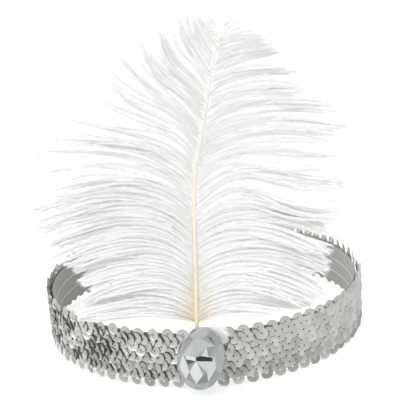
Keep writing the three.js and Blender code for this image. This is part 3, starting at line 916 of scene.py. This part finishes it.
def stoneMaterial():
    material, tree, skin = newMaterial("mirrorStone")
    tone = put(tree, "ShaderNodeAttribute", attribute_name="tone").outputs["Fac"]
    place = put(tree, "ShaderNodeTexCoord").outputs["Object"]
    cloud = put(tree, "ShaderNodeTexNoise", {"Vector": place, "Scale": 250.0, "Detail": 2.0}).outputs[0]
    veil = remap(tree, cloud, newEnds=(0.82, 1.12))
    # the facets' tones are painted reflections: light and dark facets, as the mirror backing shows them
    tree.links.new(ramp(tree, calc(tree, "MULTIPLY", tone, veil), [
        (0.0, (0.01, 0.01, 0.012)), (0.5, (0.52, 0.53, 0.53)), (1.0, (0.97, 0.98, 0.98)),
    ]), skin.inputs["Base Color"])
    skin.inputs["Metallic"].default_value = 0.8
    skin.inputs["Roughness"].default_value = 0.09
    skin.inputs["Coat Weight"].default_value = 0.5
    return material


def makeStone():
    names = list(stoneCorners)
    count = stone["corners"]
    half = (stone["wide"] / 2, stone["tall"] / 2)
    lean = Matrix.Rotation(math.radians(-stone["lean"]), 3, "Z")
    points = [Vector(stoneCorners[name]) for name in names]
    for rise in (stone["girdle"], 0):
        for corner in range(count):
            angle = 2 * math.pi * corner / count
            points.append(lean @ Vector((half[0] * math.cos(angle), half[1] * math.sin(angle), rise)))
    rim, back = len(names), len(names) + count
    faces = [[names.index(end) if isinstance(end, str) else rim + end for end in ends]
             for ends, _ in stoneFacets]
    paintedFacetTones = [tone for _, tone in stoneFacets]
    # the rim's sides and the flat back all take one painted reflection tone, plain
    for corner in range(count):
        after = (corner + 1) % count
        faces.append((back + corner, back + after, rim + after, rim + corner))
        paintedFacetTones.append(stone["plain"])
    faces.append(tuple(range(back, back + count)))
    paintedFacetTones.append(stone["plain"])
    turn = Matrix.Rotation(math.radians(-stone["yaw"]), 4, "Z") @ \
        Matrix.Rotation(math.radians(90 - stone["tilt"]), 4, "X")
    rock = half[1] * math.sin(math.radians(stone["tilt"])) + \
        abs(quill["side"] - stone["side"]) * math.sin(math.radians(stone["yaw"]))
    seat = quill["face"] + quill["depth"] / 2 + stone["gap"] + rock
    middle = Vector((stone["side"], -seat, stone["foot"] + half[1])) * mm + Vector(ring)
    mesh = meshFrom("cutStone", [turn @ (point * mm) + middle for point in points], faces)
    mesh.attributes.new("tone", "FLOAT", "FACE").data.foreach_set("value", paintedFacetTones)
    faceOut(mesh)
    mesh.materials.append(stoneMaterial())
    piece = addPiece("cutStone", mesh)
    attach(piece, "root")
    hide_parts("stone")


makeStone()
print("stone set")


# Floor, light and surroundings. Shadows on the floor are faint, as in the photo, because it shines a
# little; the mirrors see it darker, from pale down to bounce, and to nearBounce close to the loop.
# The lengths here, floor, near and loop, are metres.
studio = {
    "floor": 4.0, "pale": 0.6, "glow": 0.12, "shine": 0.5, "bounce": 0.5, "nearBounce": 0.33,
    "near": 0.025, "loop": 0.087, "white": 1.0,
}
suns = [
    {"name": "keyLight", "strength": 1.0, "angle": 85, "azimuth": -35, "height": 55},
    {"name": "fillLight", "strength": 0.5, "angle": 90, "azimuth": 60, "height": 50},
]


def makeStage():
    bottom = min(piece.bound_box[0][2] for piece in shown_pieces())
    mesh = bpy.data.meshes.new("floor")
    work = bmesh.new()
    bmesh.ops.create_circle(work, cap_ends=True, radius=studio["floor"], segments=64)
    bmesh.ops.translate(work, verts=work.verts, vec=(0, 0, bottom))
    work.to_mesh(mesh)
    work.free()
    floor = bpy.data.objects.new("floor", mesh)
    scene.collection.objects.link(floor)
    material, tree, skin = newMaterial("paleFloor")
    seen = put(tree, "ShaderNodeLightPath").outputs["Is Camera Ray"]
    place = put(tree, "ShaderNodeTexCoord").outputs["Object"]
    centred = put(tree, "ShaderNodeMapping", {"Vector": place, "Location": tuple(-ring)}).outputs[0]
    radius = put(tree, "ShaderNodeVectorMath", {0: centred}, operation="LENGTH").outputs["Value"]
    # painted shade: in reflections the floor is darker than the camera sees it, and darker still in a ring
    # round the loop, standing for its contact shadow
    away = calc(tree, "ABSOLUTE", calc(tree, "SUBTRACT", radius, studio["loop"]))
    bounce = remap(tree, away, (0, studio["near"]), (studio["nearBounce"], studio["bounce"]))
    tone = remap(tree, seen, newEnds=(bounce, studio["pale"]))
    glow = remap(tree, seen, newEnds=(studio["glow"], studio["shine"]))
    tree.links.new(tone, skin.inputs["Base Color"])
    tree.links.new(glow, skin.inputs["Emission Strength"])
    skin.inputs["Roughness"].default_value = 0.9
    skin.inputs["Emission Color"].default_value = (1, 1, 1, 1)
    mesh.materials.append(material)
    floor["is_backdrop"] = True


def makeWorld():
    world = bpy.data.worlds.new("studio")
    scene.world = world
    world.use_nodes = True
    tree = world.node_tree
    tree.nodes.clear()
    toward = put(tree, "ShaderNodeTexCoord").outputs["Generated"]
    parts = put(tree, "ShaderNodeSeparateXYZ", {0: toward})
    upward = ramp(tree, calc(tree, "ADD", calc(tree, "MULTIPLY", parts.outputs["Z"], 0.5), 0.5),
                  [(0.0, 0.6), (0.45, 0.75), (0.6, 0.9), (0.85, 1.0)])
    sideways = ramp(tree, calc(tree, "ADD", calc(tree, "MULTIPLY", parts.outputs["X"], 0.5), 0.5),
                    [(0.0, 1.9), (0.3, 1.35), (0.6, 0.85), (1.0, 0.8)])
    both = times(tree, upward, sideways)
    around = put(tree, "ShaderNodeBackground", {"Color": both, "Strength": 1.0})
    clear = put(tree, "ShaderNodeBackground", {"Color": (1, 1, 1, 1), "Strength": studio["white"]})
    seen = put(tree, "ShaderNodeLightPath").outputs["Is Camera Ray"]
    mix = put(tree, "ShaderNodeMixShader", {0: seen, 1: around.outputs[0], 2: clear.outputs[0]})
    put(tree, "ShaderNodeOutputWorld", {"Surface": mix.outputs[0]})


def makeSun(name, strength, angle, azimuth, height):
    data = bpy.data.lights.new(name, "SUN")
    data.energy = strength
    data.angle = math.radians(angle)
    sun = bpy.data.objects.new(name, data)
    sun.rotation_euler = (math.radians(90 - height), 0, math.radians(azimuth))
    scene.collection.objects.link(sun)


makeStage()
makeWorld()
for row in suns:
    makeSun(**row)
scene.view_settings.view_transform = "Standard"
print("studio lit")
